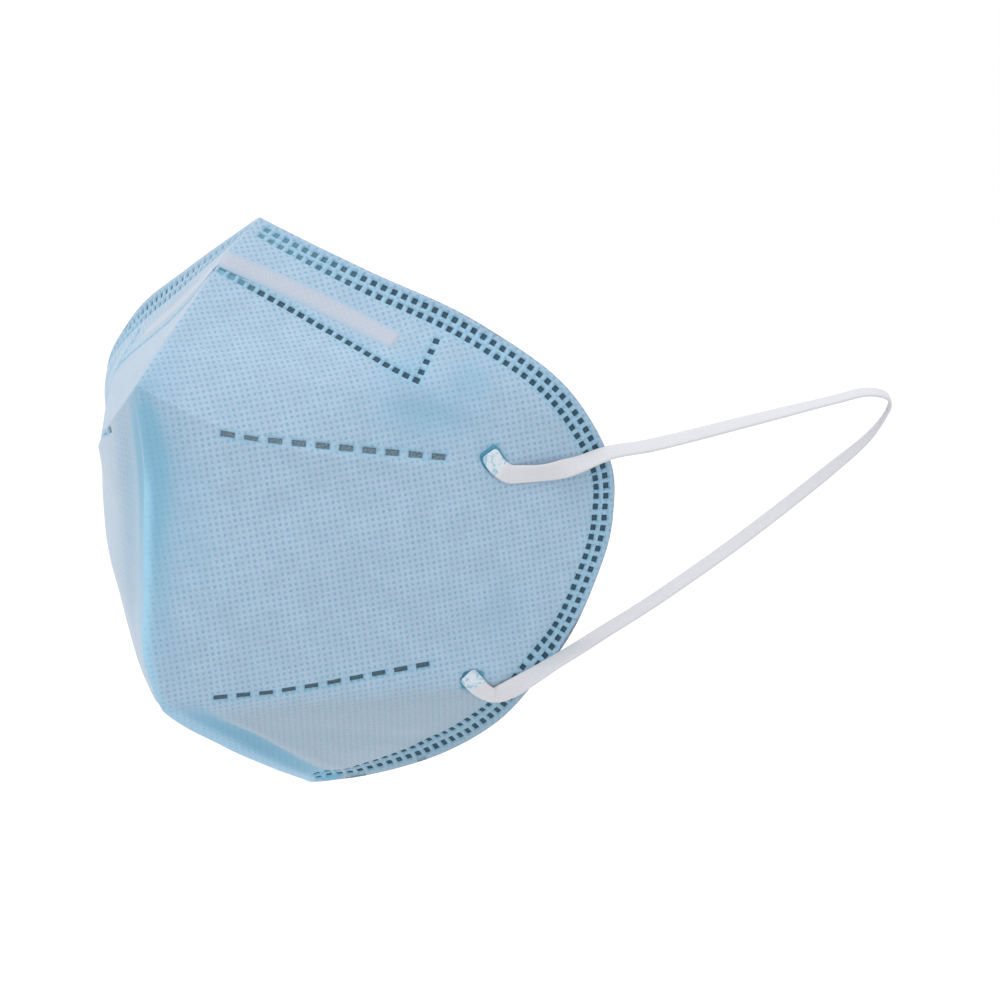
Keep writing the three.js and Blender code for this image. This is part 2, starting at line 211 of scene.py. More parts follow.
def unit(v):
    return v / np.maximum(np.linalg.norm(v, axis=-1, keepdims=True), 1e-12)


def cup_normal(q, t):
    t = np.clip(t, TIP_MARGIN, 1 - TIP_MARGIN)
    q = np.clip(q, 2 * STEP, 1 - STEP)
    along = cup_point(q + STEP, t) - cup_point(q - STEP, t)
    down = cup_point(q, t + STEP) - cup_point(q, t - STEP)
    return unit(np.cross(down, along))


def locate(x, z):
    """Share q and rib place t of each front-view point, by halving the range of t."""
    low = np.zeros_like(x)
    high = np.ones_like(x)
    for _ in range(HALVINGS):
        t = (low + high) / 2
        rib = rib_at(t)
        q = np.minimum(x / np.maximum(rib[RIM_X], STEP), 1)
        above = np.where(x > rib[RIM_X], t < 0.5, rib_height(rib, q) > z)
        low = np.where(above, t, low)
        high = np.where(above, high, t)
    t = (low + high) / 2
    q = np.clip(x / np.maximum(rib_at(t)[RIM_X], STEP), 0, 1)
    return q, t


def face_at(x, z):
    """Points on the cup under front-view points, with their normals."""
    x = np.atleast_1d(np.asarray(x, dtype=float))
    z = np.atleast_1d(np.asarray(z, dtype=float))
    q, t = locate(np.maximum(x, 0), z)
    return cup_point(q, t), cup_normal(q, t)


def dot(a, b):
    return (a * b).sum(axis=1)


def run_lengths(points):
    """Distance along a polyline up to each of its points."""
    return np.concatenate([[0.0], np.cumsum(np.linalg.norm(np.diff(points, axis=0), axis=1))])


def nearest_on_cup(target, q, t):
    """Share q and rib place t of the cup points nearest to the targets, from a first guess."""
    for _ in range(NEAREST_ROUNDS):
        q_low = np.maximum(q - STEP, 0)
        q_high = np.minimum(q + STEP, 1)
        t_low = np.maximum(t - STEP, 0)
        t_high = np.minimum(t + STEP, 1)
        along = (cup_point(q_high, t) - cup_point(q_low, t)) / (q_high - q_low)[:, None]
        down = (cup_point(q, t_high) - cup_point(q, t_low)) / (t_high - t_low)[:, None]
        miss = target - cup_point(q, t)
        aa = dot(along, along)
        dd = dot(down, down)
        ad = dot(along, down)
        am = dot(along, miss)
        dm = dot(down, miss)
        whole = np.maximum(aa * dd - ad * ad, 1e-6)
        q = np.clip(q + np.clip((am * dd - dm * ad) / whole, -MOST_Q_MOVE, MOST_Q_MOVE), 0, 1)
        t = np.clip(t + np.clip((dm * aa - am * ad) / whole, -MOST_T_MOVE, MOST_T_MOVE), 0, 1)
    return q, t


def wall_at(q, t):
    inward = np.minimum(rib_chord(rib_at(t)) * (1 - q) / RIM_BAND, 1)
    return RIM_WALL + (WALL - RIM_WALL) * inward


def inner_point(q, t):
    """Points of the inside, a wall behind the outside, with the two halves mitred at the fold."""
    wall = wall_at(q, t)
    panel = cup_normal(np.full_like(q, PANEL_SHARE), t)
    rim_x = np.maximum(rib_at(t)[RIM_X], 1e-6)
    moved = np.clip(q + (1 - q) * np.minimum(panel[:, 0] * wall / rim_x, 0.9), 0, 1)
    point = cup_point(moved, t) - cup_normal(moved, t) * wall[:, None]
    tip = (t <= TINY) | (t >= 1 - TINY)
    in_plane = panel * MIDDLE
    mitred = cup_point(np.zeros_like(q), t) - in_plane * (wall / dot(in_plane, in_plane))[:, None]
    point = np.where(tip[:, None], mitred, point)
    point[q < TINY, 0] = 0.0
    return point


# ------------ weld marks
# Lines of the front view, as x, z. The nose seam has a short leg up to the rim rows.
NOSE_SEAM = ((1.2, 50.1), (4.6, 48.0), (10.3, 44.5), (20.3, 38.7), (31.2, 32.8), (40.7, 27.5))
NOSE_LEG = ((40.6, 29.3), (40.5, 31.3), (40.3, 33.3), (40.2, 35.6))
UPPER_DASHES = ((15.8, 16.8), (19.8, 16.0), (26.6, 14.9), (36.3, 13.2), (45.4, 11.6))
LOWER_DASHES = ((9.3, -38.7), (16.1, -38.0), (22.8, -36.7), (32.5, -34.3), (38.6, -32.8))
DASHES = 10
LEG_MARKS = 4
PITCH = 2.4
# Marks by length along their row, width across it and depth pressed into the cloth.
RIM_SQUARE = (1.25, 1.25, 0.34)
SEAM_SQUARE = (1.45, 1.4, 0.34)
LEG_SQUARE = (1.3, 1.3, 0.34)
UPPER_DASH = (3.0, 1.3, 0.36)
LOWER_DASH = (2.9, 1.05, 0.36)
# Distance of the two rim rows from the rim, place of their first marks, and their gap to the middle.
RIM_ROWS = (1.9, 4.2)
RIM_START = 0.9
MIDDLE_GAP = 0.95
# Patches under the ends of the ear loops: x, z, direction and size, and the rim marks' gap to them.
PATCHES = (
    (52.3, 10.9, (0.45, 0.35, -0.8), (4.5, 4.6, 0.3)),
    (44.4, -36.6, (0.05, 0.0, -1.0), (4.4, 4.5, 0.3)),
)
PATCH_GAP = 3.4
CUP_MIDDLE = (0.0, -20.0, 0.0)
# Steps along a line for its directions and for laying it on the cup.
AHEAD = 0.3
LINE_STEP = 0.25


def walk(points, pitch, start=0.0):
    """Points every `pitch` along a polyline, with the direction there."""
    points = np.asarray(points, dtype=float)
    lengths = run_lengths(points)

    def at(stations):
        return np.stack([np.interp(stations, lengths, column) for column in points.T], axis=1)

    stations = np.arange(start, lengths[-1] + 1e-6, pitch)
    return at(stations), unit(at(stations + AHEAD) - at(stations - AHEAD))


def mark(centre, direction, normal, size, kind):
    along, across, depth = size
    return {"centre": centre, "dir": direction, "side": np.cross(normal, direction),
            "along": along, "across": across, "depth": depth, "kind": kind}


def rim_marks():
    t = np.linspace(0.0, 1.0, 1600)
    rim = cup_point(np.ones_like(t), t)
    marks = []
    for point, direction in zip(*walk(rim, PITCH, RIM_START)):
        near = np.array([t[np.argmin(((rim - point) ** 2).sum(axis=1))]])
        inward = unit(np.cross(cup_normal(np.array([0.97]), near)[0], direction))
        if inward @ (CUP_MIDDLE - point) < 0:
            inward = -inward
        for row in RIM_ROWS:
            target = (point + inward * row)[None, :]
            guess = np.clip(1 - row / rib_chord(rib_at(near)), 0.05, 1)
            q, s = nearest_on_cup(target, guess, near)
            foot = cup_point(q, s)[0]
            if min(target[0, 0], foot[0]) > MIDDLE_GAP:
                marks.append(mark(foot, direction, cup_normal(q, s)[0], RIM_SQUARE, "rim"))
                marks[-1]["at"] = (q[0], s[0])
    return marks


def line_marks(points, kind, size, count=None):
    """Marks on the cup along a line of the front view: `count` of them, or else one every PITCH."""
    dense, _ = walk(points, LINE_STEP)
    surface, _ = face_at(dense[:, 0], dense[:, 1])
    pitch = PITCH
    if count:
        pitch = run_lengths(surface)[-1] / (count - 1)
    marks = []
    for point, direction in zip(*walk(surface, pitch)):
        foot, normal = face_at(point[0], point[2])
        marks.append(mark(foot[0], direction, normal[0], size, kind))
    return marks


def patch_mark(x, z, direction, size):
    foot, normal = face_at(x, z)
    along = np.array(direction)
    along = unit(along - normal[0] * (along @ normal[0]))
    return mark(foot[0], along, normal[0], size, "patch")


def all_marks():
    marks = line_marks(NOSE_SEAM, "seam", SEAM_SQUARE)
    marks += line_marks(NOSE_LEG, "seam", LEG_SQUARE, LEG_MARKS)
    marks += line_marks(UPPER_DASHES, "dash", UPPER_DASH, DASHES)
    marks += line_marks(LOWER_DASHES, "dash", LOWER_DASH, DASHES)
    patches = [patch_mark(*patch) for patch in PATCHES]
    for rim_mark in rim_marks():
        if min(np.linalg.norm(rim_mark["centre"] - p["centre"]) for p in patches) > PATCH_GAP:
            marks.append(rim_mark)
    return marks + patches


# ------------ relief of the cloth
# Extra soft folds of a half, as dents: x, z, length, width, tilt, depth (negative stands proud).
FOLDS = (
    (0.0, 2.0, 24.0, 1.2, 90.0, -0.3),
    (0.0, -22.0, 16.0, 1.3, 90.0, -0.4),
    (1.9, 11.0, 14.0, 1.7, 90.0, 0.8),
    (6.0, -14.0, 16.0, 4.0, 95.0, 0.6),
    (43.0, 20.5, 8.0, 2.6, 150.0, 0.5),
    (48.5, 27.0, 6.0, 2.0, 110.0, 0.35),
    (52.0, 17.0, 6.0, 1.8, 100.0, 0.25),
    (30.0, 4.0, 22.0, 5.0, 25.0, 0.35),
    (34.0, -8.0, 24.0, 6.0, 30.0, -0.35),
    (24.0, -20.0, 18.0, 5.0, 35.0, 0.35),
    (46.0, -22.0, 10.0, 4.0, 70.0, 0.4),
    (8.6, -49.0, 8.0, 1.8, 95.0, -0.4),
    (4.9, -49.5, 8.5, 2.0, 92.0, 1.5),
    (25.0, -50.0, 12.0, 2.5, 165.0, 0.4),
)

# Each mark draws the cloth round it down and tints it.
HALO_REACH = 0.5
HALO_DEPTH = 0.16


def relief(points, marks):
    """How far each point of the half stands off the smooth cup, outward, and its share of a halo."""
    tree = KDTree(len(marks))
    for k, m in enumerate(marks):
        tree.insert(m["centre"], k)
    tree.balance()
    halo = np.zeros(len(points))
    for k, point in enumerate(points):
        for _, index, _ in tree.find_n(point, 3):
            m = marks[index]
            offset = point - m["centre"]
            along = max(abs(offset @ m["dir"]) - m["along"] / 2, 0)
            across = max(abs(offset @ m["side"]) - m["across"] / 2, 0)
            halo[k] = max(halo[k], math.exp(-(math.hypot(along, across) / HALO_REACH) ** 2))
    return -bump_sum(FOLDS, points[:, 0], points[:, 2]) - HALO_DEPTH * halo, halo


# ------------ cloth mesh
# A half is meshed flat, on its x stretched by STRETCH and its distance down the cup. Its points lie this
# far apart inside, on the rim (crowded towards its ends), on the fold and on the creases.
STRETCH = 1.45
FILL = 1.2
RIM_STEP = 0.6
RIM_CROWDING = 0.55
FOLD_STEP = 0.9
CREASE_STEP = 1.1
POINT_GAP = 0.42
# The wall round a mark's floor, its corner cuts, and the nearest that its corners come to the fold.
BEVEL = 0.2
CORNER_CUT = 0.22
NEAR_FOLD = 0.02


def mark_ring(m, grow):
    """Eight corners of a mark, grown by `grow` on every side, as flat points."""
    a = m["along"] / 2 + grow
    b = m["across"] / 2 + grow
    cut = CORNER_CUT * min(a, b)
    corners = ((a, b - cut), (a - cut, b), (cut - a, b), (-a, b - cut),
               (-a, cut - b), (cut - a, -b), (a - cut, -b), (a, cut - b))
    ring = np.array([m["centre"] + m["dir"] * u + m["side"] * v for u, v in corners])
    if "at" in m:
        q, t = (np.full(len(ring), value) for value in m["at"])
    else:
        q, t = locate(np.maximum(ring[:, 0], NEAR_FOLD), ring[:, 2])
    q, t = nearest_on_cup(ring, q, t)
    x = np.maximum(q * rib_at(t)[RIM_X], NEAR_FOLD)
    ring = np.stack([x * STRETCH, t * CUP_LENGTH], axis=1)
    following = np.roll(ring, -1, axis=0)
    turning = (ring[:, 0] * following[:, 1] - ring[:, 1] * following[:, 0]).sum()
    return ring if turning > 0 else ring[::-1]


def flat_mesh(marks):
    """Triangulates one half flat, and gives the polygon number of each mark's floor."""
    rim_count = int(CUP_LENGTH * STRETCH / RIM_STEP)
    crowded = (1 - np.cos(np.linspace(0, math.pi, rim_count))) / 2
    t = RIM_CROWDING * crowded + (1 - RIM_CROWDING) * np.linspace(0, 1, rim_count)
    rim = np.stack([rib_at(t)[RIM_X] * STRETCH, t * CUP_LENGTH], axis=1)
    fold_t = np.linspace(1, 0, int(CUP_LENGTH / FOLD_STEP))[1:-1]
    fold = np.stack([np.zeros_like(fold_t), fold_t * CUP_LENGTH], axis=1)
    points = [tuple(p) for p in np.concatenate([rim, fold])]
    polygons = [list(range(len(points)))]
    floors = []
    for m in marks:
        for grow in (BEVEL, 0.0):
            start = len(points)
            points.extend(tuple(p) for p in mark_ring(m, grow))
            polygons.append(list(range(start, len(points))))
        floors.append(len(polygons) - 1)
    edges = []
    for rib in (FRONT_RIB, JAW_RIB):
        xs = np.arange(1.0, VALUES[rib, RIM_X] * STRETCH - 0.8, CREASE_STEP)
        start = len(points)
        points.extend((x, KEYS[rib] * CUP_LENGTH) for x in xs)
        edges.extend((k, k + 1) for k in range(start, len(points) - 1))
    placed = KDTree(len(points))
    for k, (x, y) in enumerate(points):
        placed.insert((x, y, 0), k)
    placed.balance()
    row_step = FILL * math.sqrt(3) / 2
    for row in range(1, int(CUP_LENGTH / row_step)):
        y = row * row_step
        edge = rib_at(np.array([y / CUP_LENGTH]))[RIM_X, 0] * STRETCH
        for column in range(int(edge / FILL) + 1):
            x = (column + row % 2 / 2) * FILL + 0.35
            if x <= edge - 0.5 and placed.find((x, y, 0))[2] > POINT_GAP:
                points.append((x, y))
    return delaunay_2d_cdt([Vector(p) for p in points], edges, polygons, 1, 1e-6, True), floors


def half_mesh(marks):
    """Shares q, rib places t and faces of one half, and for each face the mark whose floor it is, or -1."""
    (verts, _, faces, _, _, face_polygons), floors = flat_mesh(marks)
    flat = np.array([[v.x, v.y] for v in verts])
    t = np.clip(flat[:, 1] / CUP_LENGTH, 0, 1)
    rim_x = rib_at(t)[RIM_X]
    x = flat[:, 0] / STRETCH
    q = np.clip(np.where(rim_x > 1e-6, x / np.maximum(rim_x, 1e-6), 0), 0, 1)
    q[np.abs(x - rim_x) < 1e-4] = 1.0
    q[x < 1e-5] = 0.0
    mark_of = {polygon: number for number, polygon in enumerate(floors)}
    floor_mark = [max((mark_of.get(k, -1) for k in polygons), default=-1) for polygons in face_polygons]
    return q, t, np.array(faces), floor_mark


def open_edges(faces):
    """Edges with one face, each in the direction that its face runs."""
    edges = [(int(a), int(b)) for face in faces for a, b in zip(face, np.roll(face, -1))]
    known = set(edges)
    return [(a, b) for a, b in edges if (b, a) not in known]


# ------------ cloth lattice coordinates
# Level direction across the side panel, and the turn of the rows of dots on it.
PANEL_AXIS = np.array([0.68, 0.733, 0.0])
LATTICE_TURN = math.radians(10.0)


def lattice_coordinates(points):
    """Flat cloth coordinates: across the side panel, and the distance up it from the middle."""
    us = np.arange(-50.0, 62.0, 1.0)
    zs = np.arange(-62.0, 61.0, 1.0)
    grid_u, grid_z = np.meshgrid(us, zs, indexing="ij")
    flat_u = grid_u.ravel()
    flat_z = grid_z.ravel()
    low = np.zeros_like(flat_u)
    high = np.full_like(flat_u, 70.0)
    for _ in range(16):
        middle = (low + high) / 2
        q, t = locate(middle, flat_z)
        reach = cup_point(q, t) @ PANEL_AXIS
        low = np.where(reach < flat_u, middle, low)
        high = np.where(reach < flat_u, high, middle)
    q, t = locate((low + high) / 2, flat_z)
    place = cup_point(q, t).reshape(len(us), len(zs), 3)
    steps = np.clip(np.linalg.norm(np.diff(place, axis=1), axis=2), 1.0, 3.2)
    height = np.concatenate([np.zeros((len(us), 1)), np.cumsum(steps, axis=1)], axis=1)
    height -= height[:, [np.argmin(np.abs(zs))]]
    u = points @ PANEL_AXIS
    fu = np.clip(u - us[0], 0, len(us) - 1.001)
    fz = np.clip(points[:, 2] - zs[0], 0, len(zs) - 1.001)
    iu = fu.astype(int)
    iz = fz.astype(int)
    du = fu - iu
    dz = fz - iz
    near = (1 - dz) * height[iu, iz] + dz * height[iu, iz + 1]
    far = (1 - dz) * height[iu + 1, iz] + dz * height[iu + 1, iz + 1]
    v = (1 - du) * near + du * far
    c = math.cos(LATTICE_TURN)
    s = math.sin(LATTICE_TURN)
    return np.stack([u * c + v * s, v * c - u * s, np.zeros_like(u)], axis=1)


# ------------ helpers for objects
def new_object(name, points, faces, materials, smooth=True):
    """An object from points in millimetres."""
    mesh = bpy.data.meshes.new(name)
    mesh.from_pydata([tuple(p) for p in np.asarray(points) * MM], [], [tuple(map(int, f)) for f in faces])
    mesh.update()
    if smooth:
        mesh.polygons.foreach_set("use_smooth", [True] * len(mesh.polygons))
    for material in materials:
        mesh.materials.append(material)
    obj = bpy.data.objects.new(name, mesh)
    bpy.context.scene.collection.objects.link(obj)
    return obj


def add_attribute(obj, name, values):
    """A number or a vector for each point, for the materials."""
    values = np.asarray(values, dtype=np.float32)
    kind, field = ("FLOAT_VECTOR", "vector") if values.ndim > 1 else ("FLOAT", "value")
    obj.data.attributes.new(name, kind, "POINT").data.foreach_set(field, values.ravel())


def tube_faces(sections, size):
    """Faces of a closed tube through sections of `size` points each, the two ends last."""
    faces = []
    for row in range(0, (sections - 1) * size, size):
        for k in range(size):
            nxt = (k + 1) % size
            faces.append((row + k, row + nxt, row + size + nxt, row + size + k))
    return faces + [range(size)[::-1], range((sections - 1) * size, sections * size)]


def fix_normals(obj):
    work = bmesh.new()
    work.from_mesh(obj.data)
    bmesh.ops.recalc_face_normals(work, faces=work.faces)
    work.to_mesh(obj.data)
    work.free()


# ------------ materials
class Nodes:
    """Small helper that wires one material's nodes."""

    def __init__(self, name):
        self.material = bpy.data.materials.new(name)
        self.material.use_nodes = True
        self.tree = self.material.node_tree
        self.shader = self.tree.nodes["Principled BSDF"]

    def feed(self, socket, value):
        if isinstance(value, bpy.types.NodeSocket):
            self.tree.links.new(value, socket)
        elif socket.type == "RGBA":
            socket.default_value = (*value, 1.0)
        else:
            socket.default_value = value

    def node(self, kind, inputs, **settings):
        made = self.tree.nodes.new(kind)
        for key, value in settings.items():
            setattr(made, key, value)
        for socket, value in inputs.items():
            self.feed(made.inputs[socket], value)
        return made

    def math(self, operation, a, b=0.0):
        return self.node("ShaderNodeMath", {0: a, 1: b}, operation=operation).outputs[0]

    def product(self, first, *others):
        for other in others:
            first = self.math("MULTIPLY", first, other)
        return first

    def without(self, name, share):
        """1 where the attribute is 0, less by `share` where it is 1."""
        return self.math("SUBTRACT", 1.0, self.product(self.attribute(name), share))

    def separate(self, vector):
        return self.node("ShaderNodeSeparateXYZ", {0: vector}).outputs

    def off_centre(self, value, pitch):
        """Place in the cell of a repeat, from -0.5 to 0.5."""
        return self.math("SUBTRACT", self.math("FRACT", self.math("DIVIDE", value, pitch)), 0.5)

    def ramp(self, value, low, high, to_low=0.0, to_high=1.0):
        inputs = {0: value, 1: low, 2: high, 3: to_low, 4: to_high}
        return self.node("ShaderNodeMapRange", inputs, interpolation_type="SMOOTHSTEP").outputs[0]

    def mix(self, share, a, b):
        return self.node("ShaderNodeMix", {0: share, 6: a, 7: b}, data_type="RGBA").outputs[2]

    def attribute(self, name, output="Fac"):
        return self.node("ShaderNodeAttribute", {}, attribute_name=name).outputs[output]

    def noise(self, vector, scale, detail=3.0, roughness=0.55, distortion=0.0):
        inputs = {"Vector": vector, "Scale": scale, "Detail": detail, "Roughness": roughness,
                  "Distortion": distortion}
        return self.node("ShaderNodeTexNoise", inputs).outputs["Fac"]

    def stretched(self, vector, scale, turn):
        inputs = {"Vector": vector, "Scale": scale, "Rotation": (0.0, 0.0, turn)}
        return self.node("ShaderNodeMapping", inputs).outputs["Vector"]

    def surface(self, colour, height, distance, strength, values):
        """Wires colour and bumps, and sets plain values on the shader's own sockets."""
        bump = self.node("ShaderNodeBump", {"Height": height, "Distance": distance, "Strength": strength})
        for socket, value in {"Base Color": colour, "Normal": bump.outputs["Normal"], **values}.items():
            self.feed(self.shader.inputs[socket], value)
        return self.material


LATTICE_PITCH = 1.285
CLOTH_LIGHT = (0.303, 0.420, 0.540)
CLOTH_DOT = (0.140, 0.315, 0.450)
# Deeper blue, used for random mottling and for painted shade in hollows.
CLOTH_MOTTLE_AND_SHADE = (0.165, 0.370, 0.515)
# Bright cyan of the painted highlight along the front fold.
CLOTH_FOLD_HIGHLIGHT = (0.270, 0.520, 0.690)
# Greyer blue of the painted shade on the down-facing panel under the jaw.
CLOTH_UNDERSIDE_SHADE = (0.278, 0.352, 0.424)
CLOTH_FLECK = (0.520, 0.560, 0.630)
# Paler, greyer blue of the painted sheen on the right half.
CLOTH_FAR_HALF_SHEEN = (0.330, 0.400, 0.475)
INSIDE_LIGHT = (0.62, 0.65, 0.68)
INSIDE_DOT = (0.52, 0.58, 0.64)
INSIDE_DEEP = (0.56, 0.62, 0.68)
# Weld marks, plain and faded: outside, on the back, round the patches, and the two rows of dashes.
WELD_DARK = (0.024, 0.058, 0.088)
WELD_FADED = (0.22, 0.50, 0.66)
WELD_HALO = (0.150, 0.430, 0.600)
BACK_DARK = (0.34, 0.42, 0.50)
BACK_FADED = (0.45, 0.55, 0.62)
PATCH_EDGE = (0.08, 0.30, 0.43)
PATCH_EDGE_FADED = (0.10, 0.34, 0.48)
LOWER_DASH_COLOURS = ((0.045, 0.080, 0.105), (0.11, 0.16, 0.20))
UPPER_DASH_COLOURS = ((0.075, 0.125, 0.165), (0.25, 0.32, 0.37))
PATCH_COLOURS = ((0.54, 0.61, 0.67), (0.27, 0.43, 0.55))
STRIP_COLOURS = ((0.370, 0.415, 0.490), (0.445, 0.477, 0.542))
BAND_COLOURS = ((0.530, 0.536, 0.568), (0.572, 0.575, 0.604))
BAND_FUZZ = (0.65, 0.65, 0.67)
BAND_STAIN = (0.53, 0.54, 0.58)
# Width of the band's ribs and length of its stitches.
RIB_WIDTH = 0.62
STITCH = 0.55
# How much of the dots each kind of place hides: painted shade under the jaw, painted shade in hollows, the
# painted highlight on the fold and the painted sheen on the right half.
DOTS_HIDDEN = {"underside_shade": 0.45, "mottle_and_shade": 0.5, "edge": 0.8, "far_half_sheen": 0.6}


def dot_mask(n, vector):
    """1 inside the round embossed dots of the cloth's square lattice."""
    across, up, _ = n.separate(vector)
    a = n.off_centre(across, LATTICE_PITCH)
    b = n.off_centre(up, LATTICE_PITCH)
    distance = n.math("SQRT", n.math("ADD", n.product(a, a), n.product(b, b)))
    wobble = n.math("SUBTRACT", n.noise(vector, 1.7, 2.0), 0.5)
    return n.ramp(n.math("ADD", distance, n.product(wobble, 0.38)), 0.38, 0.14)


def line_mask(n, vector):
    """1 along the columns of the lattice, which run together where the cloth is seen from its edge."""
    across = n.separate(vector)[0]
    return n.ramp(n.math("ABSOLUTE", n.off_centre(across, LATTICE_PITCH)), 0.36, 0.10)


def fibres(n, vector):
    """Fine crossing fibres of nonwoven cloth."""
    first = n.noise(n.stretched(vector, (0.35, 3.2, 1.0), 0.5), 2.2, 3.0, 0.6, 0.6)
    second = n.noise(n.stretched(vector, (3.4, 0.4, 1.0), 0.35), 2.0, 3.0, 0.6, 0.6)
    return n.math("MAXIMUM", first, second)


# The deeper blue goes into random mottling and, where the attribute asks, into painted shade.
def cloth_material(name, light, dotted, mottle_and_shade, dot_share):
    n = Nodes(name)
    vector = n.attribute("weave", "Vector")
    worn = n.ramp(n.noise(vector, 0.5, 3.0, 0.7), 0.32, 0.62, 0.62, 1.0)
    shown = [n.without(place, share) for place, share in DOTS_HIDDEN.items()]
    dots = n.product(dot_mask(n, vector), worn, *shown)
    threads = fibres(n, vector)
    cloud = n.noise(vector, 0.16, 3.0, 0.6)
    fine = n.noise(vector, 1.6, 3.0, 0.6)
    specks = n.noise(vector, 3.6, 2.0, 0.7)
    pale = tuple(min(c * 1.08, 1.0) for c in light)
    colour = n.mix(n.ramp(cloud, 0.36, 0.66), light, pale)
    # Painted shade on the down-facing panel under the jaw.
    colour = n.mix(n.product(n.attribute("underside_shade"), 0.9), colour, CLOTH_UNDERSIDE_SHADE)
    # Painted sheen on the right half.
    colour = n.mix(n.product(n.attribute("far_half_sheen"), 0.45), colour, CLOTH_FAR_HALF_SHEEN)
    colour = n.mix(n.product(n.ramp(fine, 0.45, 0.7), 0.16), colour, mottle_and_shade)
    # Painted shade in the trough behind the fold, in hollows and at the chin.
    colour = n.mix(n.product(n.attribute("mottle_and_shade"), 0.9), colour, mottle_and_shade)
    # Painted highlight along the front fold and below the jaw.
    colour = n.mix(n.product(n.attribute("edge"), 0.9), colour, CLOTH_FOLD_HIGHLIGHT)
    colour = n.mix(n.product(dots, dot_share), colour, dotted)
    colour = n.mix(n.product(line_mask(n, vector), n.attribute("underside_shade"), 0.22), colour, dotted)
    # Fewer flecks where shade is painted.
    unshaded = n.without("mottle_and_shade", 0.75)
    colour = n.mix(n.product(n.ramp(threads, 0.5, 0.74), 0.26, unshaded), colour, CLOTH_FLECK)
    colour = n.mix(n.product(n.ramp(specks, 0.48, 0.70), 0.40, unshaded), colour, CLOTH_FLECK)
    colour = n.mix(n.product(n.attribute("halo"), 0.36), colour, WELD_HALO)
    height = n.math("SUBTRACT", n.product(threads, 0.9), n.product(dots, 0.8))
    return n.surface(colour, height, 0.00008, 0.8, {
        "Roughness": 0.85, "Specular IOR Level": 0.2, "Sheen Weight": 0.35, "Sheen Roughness": 0.4,
        "Sheen Tint": (1.0, 0.96, 0.95)})


def weld_material(name, dark, faded):
    n = Nodes(name)
    grain = n.noise(n.attribute("weave", "Vector"), 3.0, 3.0, 0.65)
    colour = n.mix(n.ramp(grain, 0.42, 0.66), dark, tuple(c * 1.7 for c in dark))
    colour = n.mix(n.attribute("pale"), colour, faded)
    return n.surface(colour, grain, 0.00006, 0.7, {"Roughness": 0.6, "Specular IOR Level": 0.25})


def dash_material():
    """Grainy pressed dashes: slate in the lower row, lighter and more worn in the upper row."""
    n = Nodes("weld_dash")
    grain = n.noise(n.attribute("weave", "Vector"), 3.4, 3.0, 0.7)
    lower = n.mix(n.ramp(grain, 0.45, 0.66), *LOWER_DASH_COLOURS)
    upper = n.mix(n.ramp(grain, 0.42, 0.62), *UPPER_DASH_COLOURS)
    colour = n.mix(n.attribute("pale"), lower, upper)
    return n.surface(colour, grain, 0.00007, 0.8, {"Roughness": 0.6, "Specular IOR Level": 0.25})


def strip_material():
    n = Nodes("pale_strip")
    vector = n.attribute("weave", "Vector")
    grain = n.noise(vector, 3.2, 3.0, 0.6)
    colour = n.mix(n.ramp(grain, 0.35, 0.7), *STRIP_COLOURS)
    colour = n.mix(n.product(dot_mask(n, vector), 0.10), colour, CLOTH_DOT)
    colour = n.mix(n.attribute("halo"), colour, CLOTH_LIGHT)
    return n.surface(colour, grain, 0.00004, 0.7, {
        "Roughness": 0.6, "Specular IOR Level": 0.3, "Sheen Weight": 0.2})


def elastic_material():
    """Knitted band: ribs along it, slanting stitches across them, fuzz and faint stains."""
    n = Nodes("elastic")
    vector = n.attribute("weave", "Vector")
    across, along, _ = n.separate(vector)
    ribs = n.math("ABSOLUTE", n.math("SINE", n.product(across, math.pi / RIB_WIDTH)))
    slant = n.product(n.math("ABSOLUTE", n.off_centre(across, RIB_WIDTH)), 1.2)
    stitch = n.math("SINE", n.product(n.math("ADD", along, slant), 2 * math.pi / STITCH))
    knit = n.math("ADD", ribs, n.product(stitch, 0.35))
    fuzz = n.noise(vector, 3.0, 3.0, 0.6)
    stain = n.noise(vector, 0.12, 2.0)
    colour = n.mix(n.ramp(knit, 0.1, 1.1), *BAND_COLOURS)
    colour = n.mix(n.product(n.ramp(fuzz, 0.4, 0.7), 0.35), colour, BAND_FUZZ)
    colour = n.mix(n.product(n.ramp(stain, 0.4, 0.65), 0.25), colour, BAND_STAIN)
    height = n.math("ADD", n.product(knit, 0.5), fuzz)
    return n.surface(colour, height, 0.00004, 0.7, {
        "Roughness": 0.75, "Specular IOR Level": 0.25, "Sheen Weight": 0.25})


def patch_material():
    """Melted ends of the band, glossy and mottled."""
    n = Nodes("weld_patch")
    vector = n.attribute("weave", "Vector")
    blotch = n.noise(vector, 0.75, 3.0, 0.6, 0.8)
    colour = n.mix(n.ramp(blotch, 0.47, 0.62), *PATCH_COLOURS)
    height = n.math("ADD", blotch, n.product(n.noise(vector, 3.0, 2.0), 0.3))
    return n.surface(colour, height, 0.00018, 0.8, {
        "Roughness": 0.22, "Coat Weight": 0.35, "Coat Roughness": 0.15})


def floor_material():
    n = Nodes("studio_floor")
    n.feed(n.shader.inputs["Base Color"], (0.85, 0.85, 0.85))
    n.feed(n.shader.inputs["Roughness"], 0.9)
    n.feed(n.shader.inputs["Specular IOR Level"], 0.0)
    return n.material


